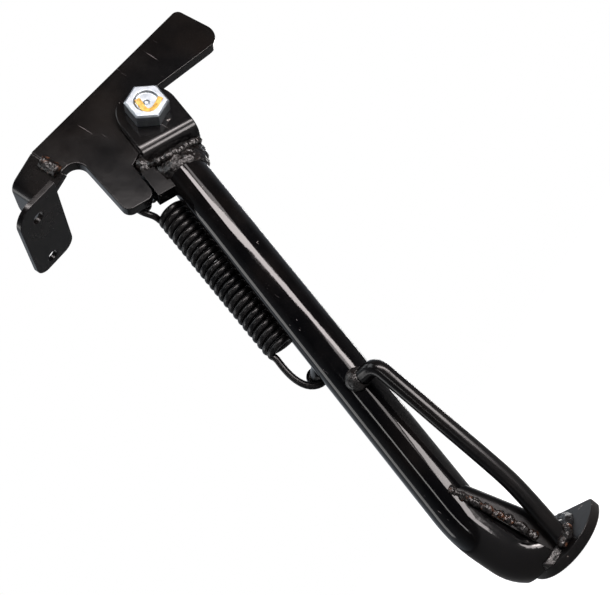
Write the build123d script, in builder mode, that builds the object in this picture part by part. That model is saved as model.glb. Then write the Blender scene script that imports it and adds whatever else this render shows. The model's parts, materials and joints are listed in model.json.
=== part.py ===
from build123d import *
import math
import os

# Side stand for a small motorcycle, in millimetres.
# The work below is laid out from the pivot bolt's axis, at the middle of the plate's thickness.
# +Z is up on the machine, +X points forward along the plate's tongue, and -Y is the outer side,
# where the bolt's head is. The leg hangs down and leans back, as its spring holds it.
# Each piece is written out with its origin moved to the middle of the two fixing holes.

# ---- Driving dimensions -------------------------------------------------------------------
plate_t = 6.0            # pivot plate, hot-rolled steel
side_gap = 0.5           # between the plate and each ear of the fork
ear_t = 4.0              # fork strap
lean = 19.1              # leg's lean from vertical, degrees

boss_r = 14.0            # round of the plate under the pivot
tongue_tip_x = 64.4      # front end of the tongue, at its widest
tongue_top_x = 62.6      # the same end at the top corner
tongue_top_z = 31.3
tongue_root_x = 12.0     # where the tongue's lower edge leaves the boss
tongue_root_z = 8.9
tongue_toe_z = 0.6
tongue_tip_r = 3.5
tongue_toe_r = 9.0
plate_back_x = -50.0
plate_foot_z = 12.6
lobe_front_e = -21.5     # stop edge of the lobe, measured across the leg
lobe_back_e = -37.8
lobe_end_s = 40.5        # lobe's end, measured down the leg
lobe_corner_r = 4.5
lobe_front_top_s = 20.0  # where the stop edge turns in to the boss
lobe_back_top_s = 10.0
boss_back_turn = 35.0    # how far round from the leg's line the boss's round runs, degrees
notch_r = 6.0

bush_r = 9.0
journal_r = 7.0          # bolt's shoulder that the bush turns on
journal_gap = 0.05
bush_end_gap = 0.1

head_af = 19.0
head_h = 7.8
head_turn = 12.0         # how far the hex is turned, degrees
head_chamfer = 0.9
head_dish_r = 6.2
head_dish_depth = 1.1
dish_taper = 35.0        # degrees, of the dish's and the dimple's walls
head_dimple_r = 1.6
head_dimple_depth = 0.9
thread_r = 6.0           # M12
washer_r = 12.0
washer_t = 2.2
nut_af = 18.0
nut_h = 9.6
nut_turn = 29.0
nut_hex_share = 0.7
nut_collar_r = 7.6
bolt_tip_past_nut = 2.4

fork_half_w = 15.6       # half the strap's width, and the round of its ears
fork_bend_s = 15.0       # centre of the strap's U-bend, down the leg

tube_r = 10.5
tube_wall = 2.3
tube_e = -2.2            # tube's axis, across the leg
tube_end_s = 235.0       # where the straight tube ends and the first bend starts
tube_bend1_r = 57.0
tube_bend1 = 19.1        # degrees
tube_mid_run = 7.5
tube_bend2_r = 12.5
tube_bend2 = 50.0        # degrees
tube_plug_t = 2.0
tube_tail_run = 30.0     # runs past the foot plate before it is cut there

collar_s0 = 18.0         # weld build-up between fork and tube
collar_s1 = 37.0
collar_e = -0.6
collar_top_half_e = 15.0
collar_top_half_y = 9.2
collar_end_r = 11.7

stop_s0 = 27.0
stop_s1 = 42.0
stop_t = 9.0
stop_gap = 0.3

post_r = 3.0             # spring post behind the tube, and the like pin behind the lobe
post_s = 150.8
post_e = -8.5
post_end_y = 19.5
pin_s = 32.0
pin_e = -25.5
pin_end_y = 12.5
post_head_r = 4.4
post_head_t = 1.8

foot_tilt = 14.0         # foot plate's tilt outwards, so that it sits flat when the leg leans out
foot_r = 20.2
foot_t = 4.5
foot_x = -63.3
foot_y = 0.0
foot_z = -261.5          # top face at the foot's centre
foot_flat_off = 11.5     # front flat of the D, from the centre
foot_flat_turn = 16.0    # degrees
foot_corner_r = 2.0
foot_chamfer = 0.6

gusset_t = 2.5
gusset_lap = 0.2         # its cheeks lie this far outside the tube
gusset_fold_r = 5.0
gusset_fold_x = -71.0    # the fold runs in front of this
gusset_top_back = (-78.0, -216.5)
gusset_top_front = (-70.2, -221.0)
gusset_mid_front = (-65.0, -245.0)
gusset_low_front = (-59.4, -268.0)
gusset_low_back = (-74.0, -272.0)

rod_r = 3.75
rod_bend_r = 8.0
rod_root = (-58.5, -9.0, -159.5)      # on the tube's outer side
rod_top = (-53.8, -21.5, -164.5)
rod_knee = (-61.4, -17.0, -229.5)
rod_foot = (-71.4, -14.6, -271.0)

flange_t = 4.0
flange_slope = 25.0      # degrees
flange_run = 14.2
flange_bend_r = 8.0
flange_back_y = 30.0
flange_top_r = 7.0
tab_t = 2.8
tab_z = 8.0              # under face
tab_x0 = -84.3
tab_x1 = -58.5
tab_y0 = -8.5
tab_y1 = 47.5
tab_corner_r = 7.0
tab_front_r = 11.0
tab_hole_r = 3.2
tab_hole_x = -73.0
tab_hole_y = 3.6
tab_hole_pitch = 36.8

wire_r = 1.5
coil_r = 6.9             # to the wire's middle
coil_turns = 24
coil_y_top = 13.6
coil_y_end = 16.2
coil_e_top = -16.4
coil_e_end = -13.6
coil_s_top = 42.0
coil_s_end = 131.5
hook_gap = 0.15          # from the hooks to the pin and the post
hook_y_top = 9.5
hook_y_end = 15.2
top_hook_drop = 4.5      # the upper hook's first bend, below the pin
top_hook_bend_r = 2.8
end_hook_start = 3.2     # the lower hook leaves the coil's end here, off its axis
end_hook_clear = 3.2
end_hook_low_s = 146.0
end_hook_out_e = -17.5
end_hook_turn_e = 4.2
end_hook_bend_r = 4.0

flange_weld_z0 = 14.0
flange_weld_z1 = 24.0
flange_weld_in = 0.6
flange_weld_r = 3.2
tab_weld_r = 2.4
tab_weld_y0 = 8.0
tab_weld_y1 = 27.0
gusset_weld_r = 2.2
gusset_weld_share = 0.6  # of the cheek's back edge
rod_weld_r = 5.6
foot_weld_off = -9.1     # weld ring's centre, along the foot plate from its middle
foot_weld_w = 2.4
foot_weld_taper = 40.0

# ---- Derived sizes and places -------------------------------------------------------------
half_t = plate_t / 2
ear_in = half_t + side_gap
ear_out = ear_in + ear_t
lean_rad = math.radians(lean)
down = Vector(-math.sin(lean_rad), 0, -math.cos(lean_rad))
across = Vector(math.cos(lean_rad), 0, -math.sin(lean_rad))


def leg_point(s, e, y=0.0):
    """A point s down the leg from the pivot and e across it, as x, y, z."""
    p = down * s + across * e
    return Vector(p.X, y, p.Z)


def flat(s, e):
    """The same point in the pivot plate's own plane, as x and z."""
    p = leg_point(s, e)
    return (p.X, p.Z)


# Plane.XZ looks along +Y, so its own up axis is +Z and its normal is -Y.
plate_plane = Plane.XZ.offset(half_t)
ear_plane = Plane.XZ.offset(ear_out)

os.makedirs("parts", exist_ok=True)


def write(builder, name):
    """Write one piece, measured from the middle of the fixing holes on the tab's under face."""
    piece = Pos(-tab_hole_x, -(tab_hole_y + tab_hole_pitch / 2), -tab_z) * builder.part
    piece.label = name
    export_step(piece, f"parts/{name}.step")


# ---- Pivot plate: flame-cut, with the tongue, the boss and the stop lobe --------------------
lobe_front_end = flat(lobe_end_s, lobe_front_e)
lobe_back_end = flat(lobe_end_s, lobe_back_e)
lobe_back_top = (flat(lobe_back_top_s, lobe_back_e)[0], plate_foot_z)
boss_front = (tongue_root_x, tongue_root_z)
boss_rad = math.radians(boss_back_turn)
boss_back = flat(boss_r * math.cos(boss_rad), -boss_r * math.sin(boss_rad))
boss_mid = flat(boss_r, 0)
with BuildPart() as pivot_plate:
    with BuildSketch(plate_plane):
        with BuildLine():
            Polyline(
                boss_front,
                (tongue_tip_x, tongue_toe_z),
                (tongue_top_x, tongue_top_z),
                (plate_back_x, tongue_top_z),
                (plate_back_x, plate_foot_z),
                lobe_back_top,
                lobe_back_end,
                lobe_front_end,
                flat(lobe_front_top_s, lobe_front_e),
                boss_back,
            )
            ThreePointArc(boss_back, boss_mid, boss_front)
        make_face()
        fillet(vertices().sort_by_distance((tongue_top_x, tongue_top_z))[0], tongue_tip_r)
        fillet(vertices().sort_by_distance((tongue_tip_x, tongue_toe_z))[0], tongue_toe_r)
        fillet(vertices().sort_by_distance(lobe_back_top)[0], notch_r)
        fillet(vertices().sort_by_distance(lobe_back_end)[0], lobe_corner_r)
        fillet(vertices().sort_by_distance(lobe_front_end)[0], lobe_corner_r)
    extrude(amount=-plate_t)
    with BuildSketch(plate_plane):
        Circle(bush_r)
    extrude(amount=-plate_t, mode=Mode.SUBTRACT)
write(pivot_plate, "pivot_plate")

# ---- Pivot bush: pressed into the plate, a little longer than the plate is thick ------------
bush_half = half_t + side_gap - bush_end_gap
with BuildPart() as pivot_bush:
    with BuildSketch(Plane.XZ.offset(bush_half)):
        Circle(bush_r)
        Circle(journal_r + journal_gap, mode=Mode.SUBTRACT)
    extrude(amount=-2 * bush_half)
write(pivot_bush, "pivot_bush")

# ---- Back flange: a strip bent round and butt-welded to the plate's back end -----------------
slope_rad = math.radians(flange_slope)
slope_dir = Vector(-math.cos(slope_rad), math.sin(slope_rad))
slope_in = Vector(math.sin(slope_rad), math.cos(slope_rad)) * flange_t
flange_start = Vector(plate_back_x, -half_t)
flange_knee = flange_start + slope_dir * flange_run
flange_wall_x = flange_knee.X - flange_bend_r * (1 - math.sin(slope_rad))
flange_arc_end = Vector(flange_wall_x, flange_knee.Y + flange_bend_r * math.cos(slope_rad))
wall_in = Vector(flange_t, 0)
tab_top = tab_z + tab_t
with BuildPart() as back_flange:
    with BuildSketch(Plane.XY.offset(tab_top)):
        with BuildLine():
            Polyline(flange_knee, flange_start, flange_start + slope_in, flange_knee + slope_in)
            TangentArc(flange_knee, flange_arc_end, tangent=slope_dir)
            TangentArc(flange_knee + slope_in, flange_arc_end + wall_in, tangent=slope_dir)
            Polyline(
                flange_arc_end,
                (flange_wall_x, flange_back_y),
                (flange_wall_x + flange_t, flange_back_y),
                flange_arc_end + wall_in,
            )
        make_face()
    extrude(amount=tongue_top_z - tab_top)
    top_back = back_flange.edges().filter_by(Axis.X).group_by(Axis.Y)[-1].sort_by(Axis.Z)[-1]
    fillet(top_back, flange_top_r)
    add(pivot_plate.part, mode=Mode.SUBTRACT)
write(back_flange, "back_flange")

# ---- Fixing tab: flat plate under the flange, with the two bolt holes -----------------------
tab_mid_x = (tab_x0 + tab_x1) / 2
with BuildPart() as fixing_tab:
    with BuildSketch(Plane.XY.offset(tab_z)):
        with Locations((tab_mid_x, (tab_y0 + tab_y1) / 2)):
            Rectangle(tab_x1 - tab_x0, tab_y1 - tab_y0)
        front_left = vertices().group_by(Axis.Y)[0].sort_by(Axis.X)[0]
        front_right = vertices().group_by(Axis.Y)[0].sort_by(Axis.X)[-1]
        fillet(front_left, tab_front_r)
        fillet(front_right, tab_corner_r)
        fillet(vertices().group_by(Axis.Y)[-1], tab_corner_r)
        with Locations((tab_hole_x, tab_hole_y), (tab_hole_x, tab_hole_y + tab_hole_pitch)):
            Circle(tab_hole_r, mode=Mode.SUBTRACT)
    extrude(amount=tab_t)
write(fixing_tab, "fixing_tab")

# ---- Fork: one strap folded round into a U, whose ears straddle the plate -------------------
with BuildPart() as fork:
    with BuildSketch(Plane(across * -fork_half_w, x_dir=(0, -1, 0), z_dir=across)):
        with BuildLine():
            Polyline(
                (ear_out, fork_bend_s),
                (ear_out, -fork_half_w),
                (ear_in, -fork_half_w),
                (ear_in, fork_bend_s),
            )
            ThreePointArc(
                (ear_in, fork_bend_s), (0, fork_bend_s + ear_in), (-ear_in, fork_bend_s)
            )
            Polyline(
                (-ear_in, fork_bend_s),
                (-ear_in, -fork_half_w),
                (-ear_out, -fork_half_w),
                (-ear_out, fork_bend_s),
            )
            ThreePointArc(
                (-ear_out, fork_bend_s), (0, fork_bend_s + ear_out), (ear_out, fork_bend_s)
            )
        make_face()
    extrude(amount=2 * fork_half_w)
    with BuildSketch(ear_plane):
        Circle(fork_half_w)
        with Locations(Pos(*flat(fork_half_w, 0)) * Rotation(0, 0, -lean)):
            Rectangle(2 * fork_half_w, 2 * fork_half_w)
    extrude(amount=-2 * ear_out, mode=Mode.INTERSECT)
    with BuildSketch(ear_plane):
        Circle(journal_r)
    extrude(amount=-ear_out, mode=Mode.SUBTRACT)
    with BuildSketch(Plane.XZ):
        Circle(thread_r)
    extrude(amount=-ear_out, mode=Mode.SUBTRACT)
write(fork, "fork")

# ---- Leg tube: drawn steel tube, bent twice at the bottom and cut to the foot plate ---------
foot_rad = math.radians(foot_tilt)
foot_normal = Vector(0, -math.sin(foot_rad), math.cos(foot_rad))
foot_plane = Plane((foot_x, foot_y, foot_z), x_dir=(1, 0, 0), z_dir=foot_normal)
with BuildLine(Plane.XZ) as tube_path:
    straight = Line(flat(fork_bend_s, tube_e), flat(tube_end_s, tube_e))
    bend1 = JernArc(straight @ 1, straight % 1, tube_bend1_r, tube_bend1)
    mid = Line(bend1 @ 1, bend1 @ 1 + (bend1 % 1) * tube_mid_run)
    bend2 = JernArc(mid @ 1, mid % 1, tube_bend2_r, tube_bend2)
    Line(bend2 @ 1, bend2 @ 1 + (bend2 % 1) * tube_tail_run)
with BuildPart(mode=Mode.PRIVATE) as fork_ears:
    with BuildSketch(ear_plane):
        with Locations(Rotation(0, 0, -lean)):
            Rectangle(2 * fork_half_w, 2 * fork_bend_s)
    extrude(amount=-2 * ear_out)
tube_start_plane = Plane(leg_point(fork_bend_s, tube_e), x_dir=(0, 1, 0), z_dir=down)
with BuildPart(mode=Mode.PRIVATE) as tube_solid:
    with BuildSketch(tube_start_plane):
        Circle(tube_r)
    sweep(path=tube_path.wires()[0])
    split(bisect_by=foot_plane, keep=Keep.TOP)
fork_round_plane = Plane(leg_point(fork_bend_s, -2 * tube_r), x_dir=(0, 1, 0), z_dir=across)
with BuildPart(mode=Mode.PRIVATE) as fork_round:
    with BuildSketch(fork_round_plane):
        Circle(ear_out)
    extrude(amount=4 * tube_r)
with BuildPart() as leg_tube:
    with BuildSketch(tube_start_plane):
        Circle(tube_r)
        Circle(tube_r - tube_wall, mode=Mode.SUBTRACT)
    sweep(path=tube_path.wires()[0])
    split(bisect_by=foot_plane, keep=Keep.TOP)
    with BuildSketch(Plane(leg_point(fork_bend_s, 0), x_dir=(0, 1, 0), z_dir=-down)):
        Rectangle(4 * tube_r, 4 * tube_r)
    extrude(amount=2 * tube_r, mode=Mode.SUBTRACT)
    add(fork_round.part, mode=Mode.SUBTRACT)
write(leg_tube, "leg_tube")

# ---- Tube end plug: closes the part of the tube's cut end that the foot plate leaves open ----
with BuildPart() as tube_end_plug:
    with BuildSketch(tube_start_plane):
        Circle(tube_r - tube_wall)
    sweep(path=tube_path.wires()[0])
    split(bisect_by=foot_plane, keep=Keep.TOP)
    split(bisect_by=foot_plane.offset(tube_plug_t), keep=Keep.BOTTOM)
write(tube_end_plug, "tube_end_plug")

# ---- Foot plate: round plate with one flat, welded across the tube's cut end ----------------
with BuildPart() as foot_plate:
    with BuildSketch(foot_plane):
        Circle(foot_r)
        with Locations(Rotation(0, 0, foot_flat_turn) * Pos(foot_flat_off + foot_r, 0)):
            Rectangle(2 * foot_r, 3 * foot_r, mode=Mode.SUBTRACT)
        fillet(vertices(), foot_corner_r)
    extrude(amount=-foot_t)
    chamfer(foot_plate.faces().sort_by(Axis((0, 0, 0), foot_normal))[0].edges(), foot_chamfer)
write(foot_plate, "foot_plate")

# ---- Gusset: sheet folded over the inside of the bend, its cheeks lapping the tube ----------
gusset_half = tube_r + gusset_lap
gusset_outline = [
    gusset_top_back,
    gusset_top_front,
    gusset_mid_front,
    gusset_low_front,
    gusset_low_back,
]
with BuildPart() as gusset:
    with BuildSketch(Plane.XZ.offset(gusset_half)):
        Polygon(*gusset_outline, align=None)
    extrude(amount=-2 * gusset_half)
    side_edges = gusset.edges().filter_by(Axis.Y, reverse=True)
    fillet(side_edges.filter_by(lambda edge: edge.center().X > gusset_fold_x), gusset_fold_r)
    with BuildSketch(Plane.XZ.offset(gusset_half - gusset_t)):
        Polygon(*gusset_outline, align=None)
        offset(amount=-gusset_t, mode=Mode.REPLACE)
    extrude(amount=-2 * (gusset_half - gusset_t), mode=Mode.SUBTRACT)
    split(bisect_by=foot_plane, keep=Keep.TOP)
    add(tube_solid.part, mode=Mode.SUBTRACT)
write(gusset, "gusset")

# ---- Weld build-up between the fork's round and the tube's top ------------------------------
collar_start_plane = Plane(leg_point(collar_s0, collar_e), x_dir=across, z_dir=down)
collar_end_plane = Plane(leg_point(collar_s1, tube_e), x_dir=across, z_dir=down)
with BuildPart() as fork_weld:
    with BuildSketch(collar_start_plane):
        Ellipse(collar_top_half_e, collar_top_half_y)
    with BuildSketch(collar_end_plane):
        Circle(collar_end_r)
    loft()
    add(tube_solid.part, mode=Mode.SUBTRACT)
    add(fork_round.part, mode=Mode.SUBTRACT)
    add(fork_ears.part, mode=Mode.SUBTRACT)
write(fork_weld, "fork_weld")

# ---- Stop block: welded to the side of the fork and tube, it lands on the plate's lobe ------
stop_e0 = lobe_front_e + stop_gap
stop_plane = Plane((0, stop_t / 2, 0), x_dir=across, z_dir=(0, -1, 0))
with BuildPart() as stop_block:
    with BuildSketch(stop_plane.offset(stop_t)):
        with Locations(((stop_e0 + tube_e) / 2, -(stop_s0 + stop_s1) / 2)):
            Rectangle(tube_e - stop_e0, stop_s1 - stop_s0)
    extrude(amount=-stop_t)
    add(tube_solid.part, mode=Mode.SUBTRACT)
    add(fork_weld.part, mode=Mode.SUBTRACT)
write(stop_block, "stop_block")

# ---- Spring post on the tube and spring pin on the lobe -------------------------------------
post_at = leg_point(post_s, post_e)
with BuildPart() as spring_post:
    with BuildSketch(Plane.XZ):
        with Locations((post_at.X, post_at.Z)):
            Circle(post_r)
    extrude(amount=-post_end_y)
    with BuildSketch(Plane.XZ.offset(-post_end_y)):
        with Locations((post_at.X, post_at.Z)):
            Circle(post_head_r)
    extrude(amount=-post_head_t)
    add(tube_solid.part, mode=Mode.SUBTRACT)
write(spring_post, "spring_post")

pin_at = leg_point(pin_s, pin_e)
with BuildPart() as spring_pin:
    with BuildSketch(Plane.XZ.offset(-half_t)):
        with Locations((pin_at.X, pin_at.Z)):
            Circle(post_r)
    extrude(amount=half_t - pin_end_y)
    with BuildSketch(Plane.XZ.offset(-pin_end_y)):
        with Locations((pin_at.X, pin_at.Z)):
            Circle(post_head_r)
    extrude(amount=-post_head_t)
write(spring_pin, "spring_pin")

# ---- Pivot bolt: M12 hex bolt with a ground shoulder for the bush ---------------------------
with BuildPart() as pivot_bolt:
    with BuildSketch(ear_plane):
        RegularPolygon(head_af / 2, 6, major_radius=False, rotation=head_turn)
    extrude(amount=head_h)
    head_top = pivot_bolt.faces().sort_by(Axis.Y)[0]
    chamfer(head_top.edges(), head_chamfer)
    with BuildSketch(Plane.XZ.offset(ear_out + head_h)):
        Circle(head_dish_r)
    extrude(amount=-head_dish_depth, taper=dish_taper, mode=Mode.SUBTRACT)
    with BuildSketch(Plane.XZ.offset(ear_out + head_h - head_dish_depth)):
        Circle(head_dimple_r)
    extrude(amount=-head_dimple_depth, taper=dish_taper, mode=Mode.SUBTRACT)
    with BuildSketch(ear_plane):
        Circle(journal_r)
    extrude(amount=-(ear_out + ear_in))
    with BuildSketch(Plane.XZ.offset(-ear_in)):
        Circle(thread_r)
    extrude(amount=-(ear_t + washer_t + nut_h + bolt_tip_past_nut))
    chamfer(pivot_bolt.faces().sort_by(Axis.Y)[-1].edges(), head_chamfer)
write(pivot_bolt, "pivot_bolt")

# ---- Washer and self-locking nut behind the fork --------------------------------------------
with BuildPart() as nut_washer:
    with BuildSketch(Plane.XZ.offset(-ear_out)):
        Circle(washer_r)
        Circle(thread_r, mode=Mode.SUBTRACT)
    extrude(amount=-washer_t)
write(nut_washer, "nut_washer")

with BuildPart() as lock_nut:
    with BuildSketch(Plane.XZ.offset(-(ear_out + washer_t))):
        RegularPolygon(nut_af / 2, 6, major_radius=False, rotation=nut_turn)
    extrude(amount=-nut_h * nut_hex_share)
    chamfer(lock_nut.faces().sort_by(Axis.Y)[-1].edges(), head_chamfer)
    with BuildSketch(Plane.XZ.offset(-(ear_out + washer_t + nut_h * nut_hex_share))):
        Circle(nut_collar_r)
    extrude(amount=-nut_h * (1 - nut_hex_share))
    with BuildSketch(Plane.XZ.offset(-(ear_out + washer_t))):
        Circle(thread_r)
    extrude(amount=-nut_h, mode=Mode.SUBTRACT)
write(lock_nut, "lock_nut")

# ---- Toe rod: round bar from the tube's outer side down to the foot plate -------------------
with BuildLine() as rod_path:
    FilletPolyline(rod_root, rod_top, rod_knee, rod_foot, radius=rod_bend_r)
with BuildPart() as toe_rod:
    with BuildSketch(Plane(origin=rod_path.line @ 0, z_dir=rod_path.line % 0)):
        Circle(rod_r)
    sweep(path=rod_path.wires()[0])
    split(bisect_by=foot_plane, keep=Keep.TOP)
    add(tube_solid.part, mode=Mode.SUBTRACT)
write(toe_rod, "toe_rod")

# ---- Return spring: one wire, coiled, with a hook at each end -------------------------------
coil_top = leg_point(coil_s_top, coil_e_top, coil_y_top)
coil_end = leg_point(coil_s_end, coil_e_end, coil_y_end)
coil_run = coil_end - coil_top
coil_plane = Plane(origin=coil_top, x_dir=-across, z_dir=coil_run)
coil_start = coil_top + coil_plane.x_dir * coil_r
hook_r = post_r + wire_r + hook_gap
with BuildPart(mode=Mode.PRIVATE) as coil:
    with BuildLine() as coil_line:
        Helix(pitch=coil_run.length / coil_turns, height=coil_run.length, radius=coil_r)
    with BuildSketch(Plane(origin=coil_line.line @ 0, z_dir=coil_line.line % 0)):
        Circle(wire_r)
    sweep(path=coil_line.line, is_frenet=True)
with BuildPart() as return_spring:
    with Locations(coil_plane.location):
        add(coil.part)
    with BuildLine() as top_hook:
        FilletPolyline(
            coil_start,
            leg_point(pin_s + top_hook_drop, pin_e - hook_r, hook_y_top),
            leg_point(pin_s - hook_r, pin_e - hook_r, hook_y_top),
            leg_point(pin_s - hook_r, pin_e + hook_r, hook_y_top),
            leg_point(pin_s + post_r, pin_e + hook_r, hook_y_top),
            radius=top_hook_bend_r,
        )
    with BuildSketch(Plane(origin=top_hook.line @ 0, z_dir=top_hook.line % 0)):
        Circle(wire_r)
    sweep(path=top_hook.line)
write(return_spring, "return_spring")

with BuildPart() as spring_end_hook:
    with BuildLine() as end_hook:
        FilletPolyline(
            coil_end + coil_plane.x_dir * end_hook_start + coil_plane.z_dir * end_hook_clear,
            leg_point(end_hook_low_s, end_hook_out_e, hook_y_end),
            leg_point(post_s + hook_r, post_e - end_hook_turn_e, hook_y_end),
            leg_point(post_s + hook_r, post_e + hook_r, hook_y_end),
            leg_point(post_s - post_r, post_e + hook_r, hook_y_end),
            radius=end_hook_bend_r,
        )
    with BuildSketch(Plane(origin=end_hook.line @ 0, z_dir=end_hook.line % 0)):
        Circle(wire_r)
    sweep(path=end_hook.line)
write(spring_end_hook, "spring_end_hook")


# ---- Weld beads: each is a round run of weld, less the pieces that it joins -----------------
def bead(points, radius, joined):
    """A weld bead of the given radius along the points, open where the joined pieces are."""
    with BuildPart(mode=Mode.PRIVATE) as weld:
        with BuildLine() as run:
            Polyline(*points)
        with BuildSketch(Plane(origin=run.line @ 0, z_dir=run.line % 0)):
            Circle(radius)
        sweep(path=run.line, transition=Transition.ROUND)
        for piece in joined:
            add(piece.part, mode=Mode.SUBTRACT)
    return weld


def blob(point, radius, joined):
    """A ball of weld round a point, open where the joined pieces are."""
    with BuildPart(mode=Mode.PRIVATE) as weld:
        with Locations(point):
            Sphere(radius)
        for piece in joined:
            add(piece.part, mode=Mode.SUBTRACT)
    return weld


flange_weld_x = plate_back_x - flange_weld_in
flange_weld_y = -half_t + flange_weld_in
flange_weld = bead(
    [(flange_weld_x, flange_weld_y, flange_weld_z1), (flange_weld_x, flange_weld_y, flange_weld_z0)],
    flange_weld_r,
    [pivot_plate, back_flange, fixing_tab],
)
write(flange_weld, "flange_weld")

tab_weld_x = flange_wall_x + flange_t
tab_weld = bead(
    [(tab_weld_x, tab_weld_y0, tab_top), (tab_weld_x, tab_weld_y1, tab_top)],
    tab_weld_r,
    [back_flange, fixing_tab],
)
write(tab_weld, "tab_weld")

gusset_back_edge = Vector(*gusset_low_back) - Vector(*gusset_top_back)
gusset_weld_end = Vector(*gusset_top_back) + gusset_back_edge * gusset_weld_share
gusset_weld = bead(
    [
        (gusset_top_back[0], -gusset_half, gusset_top_back[1]),
        (gusset_weld_end.X, -gusset_half, gusset_weld_end.Y),
    ],
    gusset_weld_r,
    [tube_solid, gusset],
)
write(gusset_weld, "gusset_weld")

rod_top_weld = blob(rod_root, rod_weld_r, [tube_solid, toe_rod])
write(rod_top_weld, "rod_top_weld")

with BuildPart() as foot_weld:
    with BuildSketch(foot_plane):
        with Locations((foot_weld_off, 0)):
            Ellipse(tube_r / math.cos(math.radians(tube_bend2)) + foot_weld_w, tube_r + foot_weld_w)
    extrude(amount=foot_weld_w, taper=foot_weld_taper)
    with BuildSketch(foot_plane):
        Circle(foot_r)
    extrude(amount=foot_weld_w, mode=Mode.INTERSECT)
    for joined in (tube_solid, gusset, toe_rod):
        add(joined.part, mode=Mode.SUBTRACT)
write(foot_weld, "foot_weld")
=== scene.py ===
import bpy
import json
import math
from mathutils import Matrix, Vector

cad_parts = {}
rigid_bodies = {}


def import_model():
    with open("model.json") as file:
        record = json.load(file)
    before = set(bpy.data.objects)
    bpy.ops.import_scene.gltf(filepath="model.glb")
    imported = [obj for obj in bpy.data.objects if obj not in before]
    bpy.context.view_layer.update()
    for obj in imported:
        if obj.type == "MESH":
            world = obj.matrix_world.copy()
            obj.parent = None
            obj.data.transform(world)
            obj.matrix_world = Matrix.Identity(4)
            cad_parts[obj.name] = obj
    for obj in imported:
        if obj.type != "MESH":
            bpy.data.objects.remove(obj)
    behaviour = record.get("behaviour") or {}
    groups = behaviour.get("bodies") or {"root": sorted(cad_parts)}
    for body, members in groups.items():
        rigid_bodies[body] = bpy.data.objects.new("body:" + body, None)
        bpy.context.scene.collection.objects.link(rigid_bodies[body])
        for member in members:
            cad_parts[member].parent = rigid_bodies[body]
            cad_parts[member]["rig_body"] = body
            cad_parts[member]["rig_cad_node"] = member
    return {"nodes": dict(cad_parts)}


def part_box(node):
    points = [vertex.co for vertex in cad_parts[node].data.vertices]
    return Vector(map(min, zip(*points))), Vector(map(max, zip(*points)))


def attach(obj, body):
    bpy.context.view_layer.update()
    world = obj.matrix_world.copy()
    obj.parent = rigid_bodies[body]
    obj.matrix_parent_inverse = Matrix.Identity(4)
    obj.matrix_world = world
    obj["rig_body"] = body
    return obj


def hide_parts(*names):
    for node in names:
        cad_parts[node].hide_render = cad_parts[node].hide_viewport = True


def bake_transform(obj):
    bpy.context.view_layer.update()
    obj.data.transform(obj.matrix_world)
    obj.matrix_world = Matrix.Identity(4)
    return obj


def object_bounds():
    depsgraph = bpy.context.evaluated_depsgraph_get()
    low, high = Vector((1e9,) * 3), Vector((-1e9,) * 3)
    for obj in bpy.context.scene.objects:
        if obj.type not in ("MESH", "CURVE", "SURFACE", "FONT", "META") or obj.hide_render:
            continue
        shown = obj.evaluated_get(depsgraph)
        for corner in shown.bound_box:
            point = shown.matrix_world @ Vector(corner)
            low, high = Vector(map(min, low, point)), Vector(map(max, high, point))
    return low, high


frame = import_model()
cad_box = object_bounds()

# ---- Camera, floor and light ------------------------------------------------------------------
# The stand is seen from its outer side and a little below, over a plain ground. A long soft lamp on
# the outer side draws the lines of light along the painted tube. The ground's own colour is a mid
# grey, and only the camera sees it as plain white, by the Light Path node.
camera_data = bpy.data.cameras.new("camera")
camera = bpy.data.objects.new("camera", camera_data)
bpy.context.scene.collection.objects.link(camera)
camera_data.sensor_width = 36.0
camera_data.lens = 53.89
camera_data.clip_start = 0.01
camera_right = Vector((0.5599, -0.0625, -0.8262))
camera_up = Vector((0.7295, -0.4357, 0.5273))
camera_back = camera_right.cross(camera_up).normalized()
camera_up = camera_back.cross(camera_right).normalized()
camera_turn = Matrix((camera_right.normalized(), camera_up, camera_back)).transposed()
camera.matrix_world = Matrix.Translation((-0.1254, -0.3941, -0.2076)) @ camera_turn.to_4x4()
bpy.context.scene.camera = camera

floor_gap = 0.0005
bpy.ops.object.select_all(action="DESELECT")
bpy.ops.mesh.primitive_plane_add(size=8.0, location=(0.0, 0.0, cad_box[0][2] - floor_gap))
floor = bpy.context.active_object
floor.name = "floor"
bpy.ops.object.transform_apply(location=True, rotation=True, scale=True)
floor_paint = bpy.data.materials.new("pale_ground")
floor_paint.use_nodes = True
floor_shader = floor_paint.node_tree.nodes["Principled BSDF"]
floor_shader.inputs["Base Color"].default_value = (0.28, 0.28, 0.28, 1.0)
floor_shader.inputs["Roughness"].default_value = 1.0
floor_shader.inputs["Specular IOR Level"].default_value = 0.0
floor_shader.inputs["Emission Color"].default_value = (1.0, 1.0, 1.0, 1.0)
floor_ray = floor_paint.node_tree.nodes.new("ShaderNodeLightPath")
floor_paint.node_tree.links.new(
    floor_ray.outputs["Is Camera Ray"], floor_shader.inputs["Emission Strength"]
)
floor.data.materials.append(floor_paint)

# The room is bright behind the stand and dim on the outer side. The camera alone sees it white.
world = bpy.data.worlds.new("studio")
bpy.context.scene.world = world
world.use_nodes = True
room = world.node_tree
room_light = room.nodes["Background"]
room_way = room.nodes.new("ShaderNodeTexCoord")
room_split = room.nodes.new("ShaderNodeSeparateXYZ")
room_ramp = room.nodes.new("ShaderNodeValToRGB")
room_ramp.color_ramp.elements[0].position = 0.30
room_ramp.color_ramp.elements[0].color = (0.02, 0.02, 0.023, 1.0)
room_ramp.color_ramp.elements[1].position = 0.85
room_ramp.color_ramp.elements[1].color = (0.48, 0.52, 0.57, 1.0)
room_shift = room.nodes.new("ShaderNodeMath")
room_shift.operation = "MULTIPLY_ADD"
room_shift.inputs[1].default_value = 0.5
room_shift.inputs[2].default_value = 0.5
room_ray = room.nodes.new("ShaderNodeLightPath")
room_open = room.nodes.new("ShaderNodeMix")
room_open.data_type = "RGBA"
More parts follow.
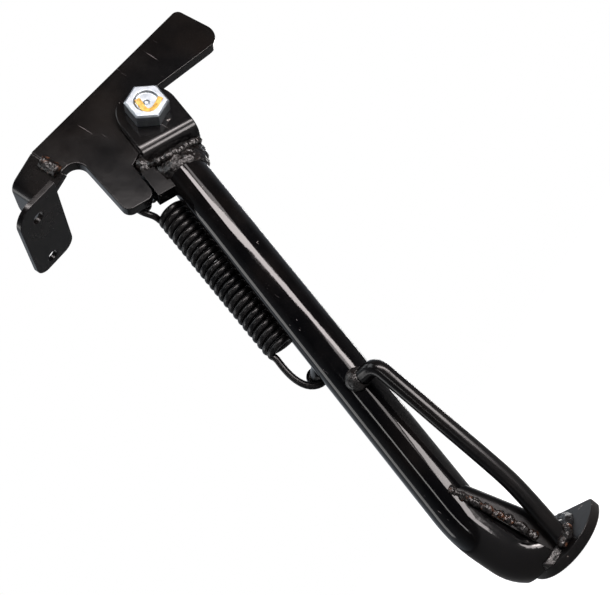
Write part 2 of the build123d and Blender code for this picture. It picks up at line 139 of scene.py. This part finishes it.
room_open.inputs["B"].default_value = (1.0, 1.0, 1.0, 1.0)
room.links.new(room_way.outputs["Generated"], room_split.inputs["Vector"])
room.links.new(room_split.outputs["Y"], room_shift.inputs[0])
room.links.new(room_shift.outputs["Value"], room_ramp.inputs["Fac"])
room.links.new(room_ray.outputs["Is Camera Ray"], room_open.inputs["Factor"])
room.links.new(room_ramp.outputs["Color"], room_open.inputs["A"])
room.links.new(room_open.outputs["Result"], room_light.inputs["Color"])
room_light.inputs["Strength"].default_value = 1.0
bpy.context.scene.view_settings.view_transform = "Standard"


def softbox(name, place, aim, long_way, wide, high, watts, colour):
    """A soft rectangular lamp at a place, facing a point, its long side along long_way."""
    lamp = bpy.data.lights.new(name, "AREA")
    lamp.shape = "RECTANGLE"
    lamp.size = wide
    lamp.size_y = high
    lamp.energy = watts
    lamp.color = colour
    lamp_object = bpy.data.objects.new(name, lamp)
    bpy.context.scene.collection.objects.link(lamp_object)
    back = (Vector(place) - Vector(aim)).normalized()
    up = Vector(long_way) - back * Vector(long_way).dot(back)
    up.normalize()
    turn = Matrix((up.cross(back), up, back)).transposed()
    lamp_object.matrix_world = Matrix.Translation(place) @ turn.to_4x4()
    lamp_object.visible_camera = False


stand_middle = (0.03, -0.02, -0.10)
head_middle = (0.04, -0.03, -0.03)
along_tube = (0.67, 0.03, -0.66)
level = (1.0, 0.0, 0.0)
upright = (0.0, 0.0, 1.0)
softbox("strip_light", (0.265, -0.98, 0.195), (0.03, -0.03, -0.10), along_tube,
        wide=0.17, high=1.10, watts=18.5, colour=(1.0, 0.92, 0.91))
softbox("panel_light", (0.33, -0.92, 0.33), head_middle, along_tube,
        wide=0.12, high=0.26, watts=0.75, colour=(1.0, 0.94, 0.93))
softbox("back_strip", (-0.85, 0.50, 0.35), stand_middle, upright,
        wide=0.3, high=0.9, watts=3.2, colour=(1.0, 0.98, 0.96))
softbox("rear_strip", (0.80, 0.72, -0.08), stand_middle, upright,
        wide=0.09, high=0.7, watts=2.2, colour=(1.0, 0.97, 0.95))
softbox("back_panel", (0.0, 0.35, 1.2), stand_middle, level,
        wide=0.5, high=0.5, watts=3.0, colour=(0.95, 0.98, 1.0))
softbox("top_light", (-0.25, -0.35, 1.1), stand_middle, level,
        wide=0.5, high=0.8, watts=5.0, colour=(0.95, 0.98, 1.0))
softbox("low_light", (-0.85, -0.85, 0.12), (0.0, -0.02, -0.2), upright,
        wide=0.10, high=0.55, watts=1.8, colour=(1.0, 0.98, 0.96))
softbox("front_light", (0.24, -0.95, -0.04), (0.06, -0.03, -0.03), level,
        wide=0.22, high=0.20, watts=1.3, colour=(1.0, 0.93, 0.92))
softbox("ground_light", (0.15, -0.37, -0.272), (0.07, -0.03, -0.03), level,
        wide=0.20, high=0.20, watts=2.6, colour=(1.0, 0.93, 0.92))


# ---- Pivot plate ------------------------------------------------------------------------------
# Flame-cut steel plate, 6 mm, with the stop lobe. Its cut edges are rubbed down and the whole is
# sprayed in gloss black, which shows a fine peel, dust and rubbed places.
def take_up(name, piece_name):
    """A merged, loose copy of a CAD node, ready to be worked on."""
    bpy.ops.object.select_all(action="DESELECT")
    source = frame["nodes"][name]
    source.select_set(True)
    bpy.context.view_layer.objects.active = source
    bpy.ops.object.duplicate()
    piece = bpy.context.active_object
    piece.name = piece_name
    piece.data.name = piece_name
    piece.parent = None
    del piece["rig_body"]
    del piece["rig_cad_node"]
    piece.data.materials.clear()
    bpy.ops.mesh.customdata_custom_splitnormals_clear()
    bpy.ops.object.mode_set(mode="EDIT")
    bpy.ops.mesh.select_all(action="SELECT")
    bpy.ops.mesh.remove_doubles(threshold=0.00002)
    bpy.ops.mesh.normals_make_consistent(inside=False)
    bpy.ops.mesh.dissolve_limited(angle_limit=math.radians(0.5))
    bpy.ops.object.mode_set(mode="OBJECT")
    return piece


def break_edges(piece, width):
    """Rounds a piece's sharp edges by the given width, and shades its round faces smooth."""
    bpy.ops.object.select_all(action="DESELECT")
    piece.select_set(True)
    bpy.context.view_layer.objects.active = piece
    rounding = piece.modifiers.new("rounding", "BEVEL")
    rounding.width = width
    rounding.segments = 3
    rounding.limit_method = "ANGLE"
    rounding.angle_limit = math.radians(32.0)
    rounding.use_clamp_overlap = True
    bpy.ops.object.modifier_apply(modifier="rounding")
    bpy.ops.object.shade_smooth_by_angle(angle=math.radians(35.0))
    flatten = piece.modifiers.new("flatten", "WEIGHTED_NORMAL")
    flatten.weight = 100
    flatten.keep_sharp = True
    bpy.ops.object.modifier_apply(modifier="flatten")
    return piece


def add_node(tree, kind, **values):
    """A shader node with the given socket values, spaces in their names written as _."""
    made = tree.nodes.new(kind)
    for socket, value in values.items():
        made.inputs[socket.replace("_", " ")].default_value = value
    return made


def ramp(tree, source, stops):
    """A colour ramp on a value, its stops given as (position, grey or colour)."""
    made = tree.nodes.new("ShaderNodeValToRGB")
    while len(made.color_ramp.elements) < len(stops):
        made.color_ramp.elements.new(0.5)
    for element, (position, colour) in zip(made.color_ramp.elements, stops):
        element.position = position
        if isinstance(colour, float):
            colour = (colour, colour, colour)
        element.color = (*colour, 1.0)
    tree.links.new(source, made.inputs["Fac"])
    return made.outputs["Color"]


def noise(tree, where, scale, detail=3.0, rough=0.5, stretch=None):
    """Noise over a piece's own place, stretched if asked."""
    made = add_node(tree, "ShaderNodeTexNoise", Scale=scale, Detail=detail, Roughness=rough)
    if stretch is not None:
        lay = add_node(tree, "ShaderNodeMapping", Scale=stretch[0], Rotation=stretch[1])
        tree.links.new(where, lay.inputs["Vector"])
        where = lay.outputs["Vector"]
    tree.links.new(where, made.inputs["Vector"])
    return made.outputs["Fac"]


def mixed(tree, share, under, over):
    """Colour over laid on colour under, by a share."""
    made = tree.nodes.new("ShaderNodeMix")
    made.data_type = "RGBA"
    for socket, value in (("Factor", share), ("A", under), ("B", over)):
        if isinstance(value, bpy.types.NodeSocket):
            tree.links.new(value, made.inputs[socket])
        elif isinstance(value, float):
            made.inputs[socket].default_value = value
        else:
            made.inputs[socket].default_value = (*value, 1.0)
    return made.outputs["Result"]


def joined(tree, operation, first, second):
    """Two values put together by a sum, a product and so on."""
    made = tree.nodes.new("ShaderNodeMath")
    made.operation = operation
    for slot_number, value in enumerate((first, second)):
        if isinstance(value, bpy.types.NodeSocket):
            tree.links.new(value, made.inputs[slot_number])
        else:
            made.inputs[slot_number].default_value = value
    return made.outputs["Value"]


def bumped(tree, shader, height, depth):
    """Bump from a height value, the depth in metres."""
    made = add_node(tree, "ShaderNodeBump", Strength=1.0, Distance=depth)
    tree.links.new(height, made.inputs["Height"])
    tree.links.new(made.outputs["Normal"], shader.inputs["Normal"])


def gloss_black(name, roughness, chips, dust, gleam=0.22):
    """Sprayed gloss black: a lower chips level wears it more, dust greys it, gleam is its mirroring."""
    paint = bpy.data.materials.new(name)
    paint.use_nodes = True
    tree = paint.node_tree
    shader = tree.nodes["Principled BSDF"]
    where = tree.nodes.new("ShaderNodeTexCoord").outputs["Object"]
    body = ramp(tree, noise(tree, where, 22.0, 4.0), [
        (0.34, (0.0010, 0.0011, 0.0014)), (0.52, (0.0018, 0.0017, 0.0018)),
        (0.70, (0.0042, 0.0034, 0.0030)),
    ])
    film = ramp(tree, noise(tree, where, 70.0, 8.0, 0.65), [(0.46, 0.0), (0.78, dust)])
    body = mixed(tree, film, body, (0.016, 0.0145, 0.014))
    chip = ramp(tree, noise(tree, where, 260.0, 5.0, 0.62), [(chips, 0.0), (chips + 0.015, 1.0)])
    body = mixed(tree, chip, body, (0.21, 0.19, 0.18))
    line_place = noise(tree, where, 30.0, 2.0)
    line = noise(tree, where, 1.0, 3.0, 0.55, ((900.0, 900.0, 26.0), (0.3, 0.5, 0.2)))
    line = ramp(tree, line, [(0.70, 0.0), (0.735, 1.0)])
    line = joined(tree, "MULTIPLY", line, ramp(tree, line_place, [(0.50, 0.0), (0.62, 0.7)]))
    body = mixed(tree, line, body, (0.13, 0.12, 0.12))
    tree.links.new(body, shader.inputs["Base Color"])
    rough = ramp(tree, noise(tree, where, 48.0, 6.0, 0.6), [
        (0.30, roughness), (0.72, roughness * 1.3 + 0.05),
    ])
    rough = joined(tree, "ADD", rough, joined(tree, "MULTIPLY", chip, 0.35))
    rough = joined(tree, "ADD", rough, joined(tree, "MULTIPLY", line, 0.2))
    tree.links.new(rough, shader.inputs["Roughness"])
    shader.inputs["Specular IOR Level"].default_value = gleam
    peel = noise(tree, where, 330.0, 2.0, 0.4)
    run = noise(tree, where, 60.0, 2.0, 0.4)
    height = joined(tree, "ADD", joined(tree, "MULTIPLY", peel, 0.25), run)
    height = joined(tree, "SUBTRACT", height, joined(tree, "MULTIPLY", chip, 0.5))
    bumped(tree, shader, height, 0.00007)
    return paint


def finished(piece, node_names, body, material):
    """Paints a piece, hides the CAD nodes it stands for, and ties it to the body it rides on."""
    piece.data.materials.clear()
    piece.data.materials.append(material)
    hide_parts(*node_names)
    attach(piece, body)


plate_edge = 0.0007
plate_black = gloss_black("plate_black", roughness=0.13, chips=0.735, dust=0.12)
plate = break_edges(take_up("pivot_plate", "plate_skin"), plate_edge)
finished(plate, ["pivot_plate"], "plate", plate_black)

# ---- Pivot bush -------------------------------------------------------------------------------
# The sleeve that the bolt's shoulder turns in: sintered steel, pressed into the plate. It is oily
# and dull where its ends show.
bush_edge = 0.0002
bush_metal = bpy.data.materials.new("oiled_steel")
bush_metal.use_nodes = True
bush_tree = bush_metal.node_tree
bush_shader = bush_tree.nodes["Principled BSDF"]
bush_where = bush_tree.nodes.new("ShaderNodeTexCoord").outputs["Object"]
bush_tree.links.new(
    ramp(bush_tree, noise(bush_tree, bush_where, 300.0, 4.0), [
        (0.3, (0.10, 0.09, 0.08)), (0.7, (0.24, 0.22, 0.20)),
    ]),
    bush_shader.inputs["Base Color"],
)
bush_tree.links.new(
    ramp(bush_tree, noise(bush_tree, bush_where, 500.0, 3.0), [(0.3, 0.3), (0.7, 0.5)]),
    bush_shader.inputs["Roughness"],
)
bush_shader.inputs["Metallic"].default_value = 1.0
bumped(bush_tree, bush_shader, noise(bush_tree, bush_where, 1500.0, 2.0), 0.00003)
bush = break_edges(take_up("pivot_bush", "bush_skin"), bush_edge)
finished(bush, ["pivot_bush"], "plate", bush_metal)

# ---- Back flange and fixing tab ---------------------------------------------------------------
# A bent 4 mm strip butt-welded to the plate's back end, and the flat tab with two bolt holes that
# is welded under it. Both are painted with the plate.
tab_edge = 0.00025
flange_black = gloss_black("flange_black", roughness=0.20, chips=0.70, dust=0.30)
flange = break_edges(take_up("back_flange", "flange_skin"), plate_edge)
finished(flange, ["back_flange"], "plate", flange_black)
tab = break_edges(take_up("fixing_tab", "tab_skin"), tab_edge)
finished(tab, ["fixing_tab"], "plate", flange_black)

# ---- Fork -------------------------------------------------------------------------------------
# One 4 mm steel strap folded into a U, so that its two ears straddle the plate. The bolt goes
# through both ears, and the strap is painted with the leg.
fork_edge = 0.0008
fork_black = gloss_black("fork_black", roughness=0.12, chips=0.72, dust=0.18)
fork = break_edges(take_up("fork", "fork_skin"), fork_edge)
finished(fork, ["fork"], "leg", fork_black)

# ---- Leg tube ---------------------------------------------------------------------------------
# Drawn steel tube, 21 mm, bent twice at the bottom and cut to the foot plate. A small plug closes
# what the plate leaves open. Its hidden top ends inside the weld build-up under the fork.
tube_top_s = 28.0
tube_edge = 0.0002
tube_black = gloss_black("tube_black", roughness=0.04, chips=0.735, dust=0.12)
pivot = Vector((0.073, -0.022, -0.008))
lean = math.radians(19.1)
down = Vector((-math.sin(lean), 0.0, -math.cos(lean)))
across = Vector((math.cos(lean), 0.0, -math.sin(lean)))


def leg_point(s, e, y):
    """A point s down the leg, e across it and y inwards from the pivot's middle, in millimetres."""
    return pivot + (down * s + across * e + Vector((0.0, y, 0.0))) / 1000.0


tube = take_up("leg_tube", "tube_skin")
bpy.ops.object.mode_set(mode="EDIT")
bpy.ops.mesh.select_all(action="SELECT")
bpy.ops.mesh.bisect(
    plane_co=leg_point(tube_top_s, 0.0, 0.0), plane_no=-down, clear_outer=True, use_fill=True
)
bpy.ops.object.mode_set(mode="OBJECT")
break_edges(tube, tube_edge)
finished(tube, ["leg_tube"], "leg", tube_black)
plug = break_edges(take_up("tube_end_plug", "tube_plug_skin"), tube_edge)
finished(plug, ["tube_end_plug"], "leg", tube_black)

# ---- Foot plate -------------------------------------------------------------------------------
# Round 4.5 mm steel plate with one flat, welded under the tube's cut end. Its paint is dusty and
# scuffed where it meets the ground.
foot_edge = 0.0004
foot_black = gloss_black("foot_black", roughness=0.24, chips=0.67, dust=0.40)
foot = break_edges(take_up("foot_plate", "foot_skin"), foot_edge)
finished(foot, ["foot_plate"], "leg", foot_black)

# ---- Gusset -----------------------------------------------------------------------------------
# Folded 2.5 mm steel sheet that stiffens the inside of the tube's bend. Its cheeks lap the tube and
# are welded along their edges.
gusset_edge = 0.0006
gusset_black = gloss_black("gusset_black", roughness=0.27, chips=0.71, dust=0.25, gleam=0.12)
gusset = break_edges(take_up("gusset", "gusset_skin"), gusset_edge)
finished(gusset, ["gusset"], "leg", gusset_black)

# ---- Toe rod ----------------------------------------------------------------------------------
# Round 7.5 mm steel bar that the rider's boot pushes to swing the leg down. It is bent cold and
# welded at both ends, to the tube and to the foot plate.
def bent_wire(name, points, radius, order):
    """A round wire along a smooth line through the space of its points, closed at its ends."""
    line = bpy.data.curves.new(name, "CURVE")
    line.dimensions = "3D"
    line.bevel_depth = radius
    line.bevel_resolution = 6
    line.use_fill_caps = True
    line.resolution_u = 3
    spline = line.splines.new("NURBS")
    spline.points.add(len(points) - 1)
    for knot, point in zip(spline.points, points):
        knot.co = (*point, 1.0)
    spline.order_u = order
    spline.use_endpoint_u = True
    wire = bpy.data.objects.new(name, line)
    bpy.context.scene.collection.objects.link(wire)
    bpy.ops.object.select_all(action="DESELECT")
    wire.select_set(True)
    bpy.context.view_layer.objects.active = wire
    bpy.ops.object.convert(target="MESH")
    wire = bpy.context.active_object
    bpy.ops.object.mode_set(mode="EDIT")
    bpy.ops.mesh.select_all(action="SELECT")
    bpy.ops.mesh.remove_doubles(threshold=0.000001)
    bpy.ops.mesh.normals_make_consistent(inside=False)
    bpy.ops.object.mode_set(mode="OBJECT")
    bpy.ops.object.shade_smooth_by_angle(angle=math.radians(50.0))
    return wire


rod_r = 0.00375
rod_black = gloss_black("rod_black", roughness=0.17, chips=0.73, dust=0.12)
rod_line = [
    (0.0145, -0.0310, -0.1675), (0.0165, -0.0355, -0.1692), (0.0186, -0.0412, -0.1706),
    (0.0193, -0.0434, -0.1738), (0.0183, -0.0432, -0.1800), (0.0170, -0.0423, -0.1920),
    (0.0153, -0.0412, -0.2060), (0.0137, -0.0402, -0.2200), (0.0123, -0.0393, -0.2320),
    (0.0110, -0.0384, -0.2420), (0.0086, -0.0374, -0.2520), (0.0056, -0.0361, -0.2630),
    (0.0032, -0.0352, -0.2720),
]
rod = bent_wire("toe_rod_skin", rod_line, rod_r, order=3)
finished(rod, ["toe_rod"], "leg", rod_black)

# ---- Stop block -------------------------------------------------------------------------------
# Small steel block welded between the fork and the tube. It lands on the edge of the plate's lobe
# when the leg is down, and is painted with the leg.
stop = break_edges(take_up("stop_block", "stop_skin"), fork_edge)
finished(stop, ["stop_block"], "leg", plate_black)

# ---- Spring post and spring pin ---------------------------------------------------------------
# Turned steel pins with a head that hold the spring's hooks, one welded behind the tube and one
# behind the plate's lobe, painted over.
pin_edge = 0.0004
post = break_edges(take_up("spring_post", "post_skin"), pin_edge)
finished(post, ["spring_post"], "leg", rod_black)
pin = break_edges(take_up("spring_pin", "pin_skin"), pin_edge)
finished(pin, ["spring_pin"], "plate", rod_black)

# ---- Pivot bolt, washer and nut ---------------------------------------------------------------
# Zinc-plated M12 steel bolt with a dished head that the leg swings on. A plain washer and a
# self-locking nut hold it behind the fork.
bolt_edge = 0.0003
zinc = bpy.data.materials.new("bright_zinc")
zinc.use_nodes = True
zinc_tree = zinc.node_tree
zinc_shader = zinc_tree.nodes["Principled BSDF"]
zinc_where = zinc_tree.nodes.new("ShaderNodeTexCoord").outputs["Object"]
zinc_colour = ramp(zinc_tree, noise(zinc_tree, zinc_where, 240.0, 6.0, 0.65), [
    (0.32, (0.22, 0.245, 0.27)), (0.5, (0.29, 0.32, 0.345)), (0.7, (0.36, 0.385, 0.405)),
])
zinc_stain = ramp(zinc_tree, noise(zinc_tree, zinc_where, 600.0, 5.0, 0.7), [(0.66, 0.0), (0.80, 0.25)])
zinc_tree.links.new(
    mixed(zinc_tree, zinc_stain, zinc_colour, (0.16, 0.14, 0.12)), zinc_shader.inputs["Base Color"]
)
zinc_tree.links.new(
    ramp(zinc_tree, noise(zinc_tree, zinc_where, 350.0, 5.0), [(0.3, 0.38), (0.7, 0.52)]),
    zinc_shader.inputs["Roughness"],
)
zinc_shader.inputs["Metallic"].default_value = 1.0
bumped(zinc_tree, zinc_shader, noise(zinc_tree, zinc_where, 900.0, 4.0, 0.6), 0.00003)
bolt = break_edges(take_up("pivot_bolt", "bolt_skin"), bolt_edge)
finished(bolt, ["pivot_bolt"], "leg", zinc)
washer = break_edges(take_up("nut_washer", "washer_skin"), bolt_edge)
finished(washer, ["nut_washer"], "leg", zinc)
nut = break_edges(take_up("lock_nut", "nut_skin"), bolt_edge)
finished(nut, ["lock_nut"], "leg", zinc)

# ---- Inspection mark --------------------------------------------------------------------------
# A thick stroke of yellow paint, dabbed on the bolt's head when it was tightened. It sinks into
# the head's dish. Its line runs round the bolt's axis, in millimetres across and up.
head_face_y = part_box("pivot_bolt")[0].y
mark_points = [
    (-1.6, 4.5), (-2.4, 2.4), (-3.8, -1.0), (-4.2, -3.8), (-1.8, -5.4), (1.5, -5.2), (5.6, -4.2),
]
mark_r = 0.0015
mark_flattening = 0.25
mark_sink = 0.00005
mark = bent_wire("paint_mark", [
    (pivot.x + x / 1000.0, head_face_y - mark_sink, pivot.z + z / 1000.0) for x, z in mark_points
], mark_r, order=3)
dish_r, dish_floor_r, dish_depth = 0.0062, 0.0054, 0.0011
for vertex in mark.data.vertices:
    off_axis = math.hypot(vertex.co.x - pivot.x, vertex.co.z - pivot.z)
    sunk = min(max((dish_r - off_axis) / (dish_r - dish_floor_r), 0.0), 1.0) * dish_depth
    vertex.co.y = head_face_y + (vertex.co.y - head_face_y) * mark_flattening + sunk
yellow = bpy.data.materials.new("yellow_paint")
yellow.use_nodes = True
yellow_tree = yellow.node_tree
yellow_shader = yellow_tree.nodes["Principled BSDF"]
yellow_where = yellow_tree.nodes.new("ShaderNodeTexCoord").outputs["Object"]
yellow_tree.links.new(
    ramp(yellow_tree, noise(yellow_tree, yellow_where, 500.0, 5.0, 0.6), [
        (0.32, (0.20, 0.11, 0.015)), (0.48, (0.42, 0.25, 0.035)), (0.72, (0.55, 0.38, 0.10)),
    ]),
    yellow_shader.inputs["Base Color"],
)
yellow_tree.links.new(
    ramp(yellow_tree, noise(yellow_tree, yellow_where, 700.0, 3.0), [(0.3, 0.35), (0.7, 0.6)]),
    yellow_shader.inputs["Roughness"],
)
bumped(yellow_tree, yellow_shader, noise(yellow_tree, yellow_where, 900.0, 4.0, 0.6), 0.0002)
mark.data.materials.append(yellow)
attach(mark, "leg")

# ---- Return spring ----------------------------------------------------------------------------
# One spring-steel wire, 3.4 mm with its black dip, close-coiled, with a hook at each end: the upper
# hook holds the pin behind the lobe, the lower one the post behind the tube. The line runs a little
# inside its points, so the points of the coil stand out by a small share.
wire_r = 0.0017
coil_r = 0.0069
coil_turns = 24
turn_points = 12
line_pull = 1.045
coil_top = leg_point(42.0, -16.4, 13.6)
coil_end = leg_point(131.5, -13.6, 16.2)
coil_run = coil_end - coil_top
coil_way = coil_run.normalized()
coil_x = (-across - coil_way * (-across).dot(coil_way)).normalized()
coil_y = coil_way.cross(coil_x)
upper_hook = [leg_point(*place) for place in [
    (35.5, -20.4, 9.5), (31.5, -20.7, 9.5), (27.9, -22.2, 9.5), (27.2, -25.5, 9.5),
    (28.3, -29.4, 9.5), (32.4, -30.6, 9.5), (37.6, -29.0, 9.8), (40.6, -25.6, 11.2),
]]
coil_points = []
for k in range(coil_turns * turn_points + 1):
    turn = 2.0 * math.pi * k / turn_points
    coil_points.append(
        coil_top + coil_run * (k / (coil_turns * turn_points))
        + (coil_x * math.cos(turn) + coil_y * math.sin(turn)) * coil_r * line_pull
    )
lower_hook = [leg_point(*place) for place in [
    (133.6, -19.4, 14.6), (137.4, -19.4, 15.2), (142.0, -19.3, 15.2), (147.4, -18.6, 15.2),
    (153.2, -16.2, 15.2), (156.4, -11.6, 15.2), (156.2, -6.2, 15.2), (152.2, -3.6, 15.2),
    (148.2, -3.9, 15.2),
]]
spring = bent_wire("spring_wire", upper_hook + coil_points + lower_hook, wire_r, order=4)
spring_black = gloss_black("spring_black", roughness=0.24, chips=0.72, dust=0.30)
spring.data.materials.append(spring_black)
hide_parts("return_spring", "spring_end_hook")
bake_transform(spring)


# ---- Welds ------------------------------------------------------------------------------------
# Hand-laid arc welds that hold the plate's parts and the leg's parts together: lumpy and rippled,
# painted over thinly, with rust and bright bits of spatter.
def weld_finish(name, rust_from, bright_from):
    """Thin black over weld metal: rust shows from one noise level, bright bits from another."""
    metal = bpy.data.materials.new(name)
    metal.use_nodes = True
    tree = metal.node_tree
    shader = tree.nodes["Principled BSDF"]
    where = tree.nodes.new("ShaderNodeTexCoord").outputs["Object"]
    body = ramp(tree, noise(tree, where, 180.0, 6.0, 0.65), [
        (0.30, (0.0015, 0.0014, 0.0014)), (rust_from, (0.0045, 0.0030, 0.0025)),
        (rust_from + 0.06, (0.045, 0.018, 0.009)), (rust_from + 0.20, (0.18, 0.075, 0.030)),
    ])
    bright = ramp(tree, noise(tree, where, 520.0, 4.0, 0.6), [
        (bright_from, 0.0), (bright_from + 0.03, 1.0),
    ])
    body = mixed(tree, bright, body, (0.20, 0.17, 0.15))
    tree.links.new(body, shader.inputs["Base Color"])
    tree.links.new(
        ramp(tree, noise(tree, where, 260.0, 5.0), [(0.35, 0.12), (0.68, 0.42)]),
        shader.inputs["Roughness"],
    )
    shader.inputs["Specular IOR Level"].default_value = 0.4
    ripple = noise(tree, where, 420.0, 5.0, 0.6)
    height = joined(tree, "ADD", ripple, noise(tree, where, 1200.0, 3.0, 0.6))
    bumped(tree, shader, height, 0.00022)
    return metal


def roughen(piece, grain, swell, lump):
    """Remeshes a weld finely and pushes its surface in and out by soft lumps of one size."""
    bpy.ops.object.select_all(action="DESELECT")
    piece.select_set(True)
    bpy.context.view_layer.objects.active = piece
    piece.data.remesh_voxel_size = grain
    bpy.ops.object.voxel_remesh()
    smooth = piece.modifiers.new("smooth", "SMOOTH")
    smooth.iterations = 2
    bpy.ops.object.modifier_apply(modifier="smooth")
    lumps = bpy.data.textures.new("weld_lumps", "CLOUDS")
    lumps.noise_scale = lump
    lumps.noise_depth = 2
    push = piece.modifiers.new("push", "DISPLACE")
    push.texture = lumps
    push.texture_coords = "LOCAL"
    push.strength = swell
    push.mid_level = 0.45
    bpy.ops.object.modifier_apply(modifier="push")
    bpy.ops.object.shade_smooth()
    return piece


def lay_bead(name, points, radius, step):
    """A rippled weld bead: copies of one drop, overlapping along the points and joined."""
    bpy.ops.object.select_all(action="DESELECT")
    bpy.ops.mesh.primitive_uv_sphere_add(segments=16, ring_count=10, radius=1.0)
    drops = [bpy.context.active_object]
    count = 0
    for start, end in zip(points[:-1], points[1:]):
        start, end = Vector(start), Vector(end)
        pieces = max(1, round((end - start).length / step))
        for k in range(pieces + 1):
            if count > 0:
                bpy.ops.object.duplicate()
                drops.append(bpy.context.active_object)
            count += 1
            sway = 0.5 * math.sin(count * 2.4) * radius * 0.35
            size = radius * (1.0 + 0.16 * math.sin(count * 1.7 + 0.6))
            place = start.lerp(end, k / pieces)
            drops[-1].location = (place.x + sway, place.y, place.z + sway * math.cos(count * 1.1))
            drops[-1].scale = (size, size, size)
    for drop in drops:
        drop.select_set(True)
    bpy.context.view_layer.objects.active = drops[0]
    bpy.ops.object.join()
    bead = bpy.context.active_object
    bpy.ops.object.transform_apply(location=True, rotation=True, scale=True)
    bead.name = name
    bead.data.name = name
    return bead


dark_weld = weld_finish("dark_weld", rust_from=0.66, bright_from=0.70)
rusty_weld = weld_finish("rusty_weld", rust_from=0.54, bright_from=0.685)

# The build-up between fork and tube: an oval that starts under the fork's round and swells on to
# the tube, with a bead round its root on each side and a run that ties in the stop block. Each step
# says how far it is down the leg and how wide the oval is across and inwards, in millimetres.
collar_steps = [
    (21.5, 14.6, 1.6), (23.6, 14.6, 5.0), (27.0, 14.2, 8.6), (30.5, 13.9, 10.2),
    (34.5, 13.2, 11.0), (37.5, 11.8, 11.1), (38.8, 10.2, 10.2),
]
bpy.ops.object.select_all(action="DESELECT")
start_s, start_e, start_y = collar_steps[0]
bpy.ops.mesh.primitive_circle_add(
    vertices=64, radius=0.001, fill_type="NGON", location=(0.0, 0.0, start_s / 1000.0)
)
collar = bpy.context.active_object
collar.name = "fork_weld_skin"
bpy.ops.object.mode_set(mode="EDIT")
bpy.ops.mesh.select_all(action="SELECT")
bpy.ops.transform.resize(value=(start_e, start_y, 1.0))
for (s, e, y), (next_s, next_e, next_y) in zip(collar_steps[:-1], collar_steps[1:]):
    bpy.ops.mesh.extrude_region_move(
        TRANSFORM_OT_translate={"value": (0.0, 0.0, (next_s - s) / 1000.0)}
    )
    bpy.ops.transform.resize(value=(next_e / e, next_y / y, 1.0))
bpy.ops.mesh.select_all(action="SELECT")
bpy.ops.mesh.normals_make_consistent(inside=False)
bpy.ops.object.mode_set(mode="OBJECT")
bpy.ops.object.transform_apply(location=True, rotation=True, scale=True)
leg_turn = Matrix((across, Vector((0.0, -1.0, 0.0)), down)).transposed().to_4x4()
collar_shift_e = -1.2
collar.data.transform(Matrix.Translation(leg_point(0.0, collar_shift_e, 0.0)) @ leg_turn)
roughen(collar, grain=0.00045, swell=0.0016, lump=0.0030)
finished(collar, ["fork_weld"], "leg", dark_weld)
root_beads = []
for side in (-1.0, 1.0):
    root_beads.append(lay_bead("fork_weld_rim", [leg_point(s, e, y * side) for s, e, y in [
        (25.0, -14.6, 3.0), (27.5, -12.0, 7.2), (29.0, -6.0, 9.2), (29.5, 1.0, 9.6),
        (28.5, 7.0, 8.4), (27.5, 11.0, 6.0),
    ]], radius=0.0018, step=0.0018))
root_beads.append(lay_bead("stop_tie", [leg_point(*place) for place in [
    (17.3, -12.6, 0.0), (21.5, -16.6, 0.0), (29.0, -16.8, 0.0),
]], radius=0.0038, step=0.0030))
bpy.ops.object.select_all(action="DESELECT")
for bead in root_beads:
    bead.select_set(True)
bpy.context.view_layer.objects.active = root_beads[0]
bpy.ops.object.join()
fork_rim = roughen(bpy.context.active_object, grain=0.00035, swell=0.0010, lump=0.002)
fork_rim.data.materials.append(dark_weld)
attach(fork_rim, "leg")

laid_grain = 0.0004
flange_bead = take_up("flange_weld", "flange_weld_skin")
roughen(flange_bead, laid_grain, swell=0.0018, lump=0.003)
finished(flange_bead, ["flange_weld"], "plate", rusty_weld)
tab_bead = take_up("tab_weld", "tab_weld_skin")
roughen(tab_bead, laid_grain, swell=0.0010, lump=0.003)
finished(tab_bead, ["tab_weld"], "plate", rusty_weld)
gusset_bead = lay_bead("gusset_weld_skin", [
    (-0.0040, -0.0322, -0.2245), (-0.0030, -0.0326, -0.2330), (-0.0022, -0.0328, -0.2410),
    (-0.0012, -0.0328, -0.2490), (-0.0006, -0.0328, -0.2560), (-0.0010, -0.0326, -0.2610),
], radius=0.0016, step=0.0016)
fine_grain = 0.0003
roughen(gusset_bead, fine_grain, swell=0.0016, lump=0.0016)
finished(gusset_bead, ["gusset_weld"], "leg", rusty_weld)
foot_bead = take_up("foot_weld", "foot_weld_skin")
roughen(foot_bead, laid_grain, swell=0.0009, lump=0.0028)
finished(foot_bead, ["foot_weld"], "leg", dark_weld)
rod_foot_bead = lay_bead("rod_foot_weld", [
    (0.0010, -0.0385, -0.2705), (0.0045, -0.0400, -0.2705), (0.0082, -0.0375, -0.2695),
], radius=0.0017, step=0.0018)
roughen(rod_foot_bead, fine_grain, swell=0.0014, lump=0.0018)
rod_foot_bead.data.materials.append(rusty_weld)
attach(rod_foot_bead, "leg")
rod_bead = take_up("rod_top_weld", "rod_top_weld_skin")
roughen(rod_bead, laid_grain, swell=0.0008, lump=0.003)
finished(rod_bead, ["rod_top_weld"], "leg", dark_weld)
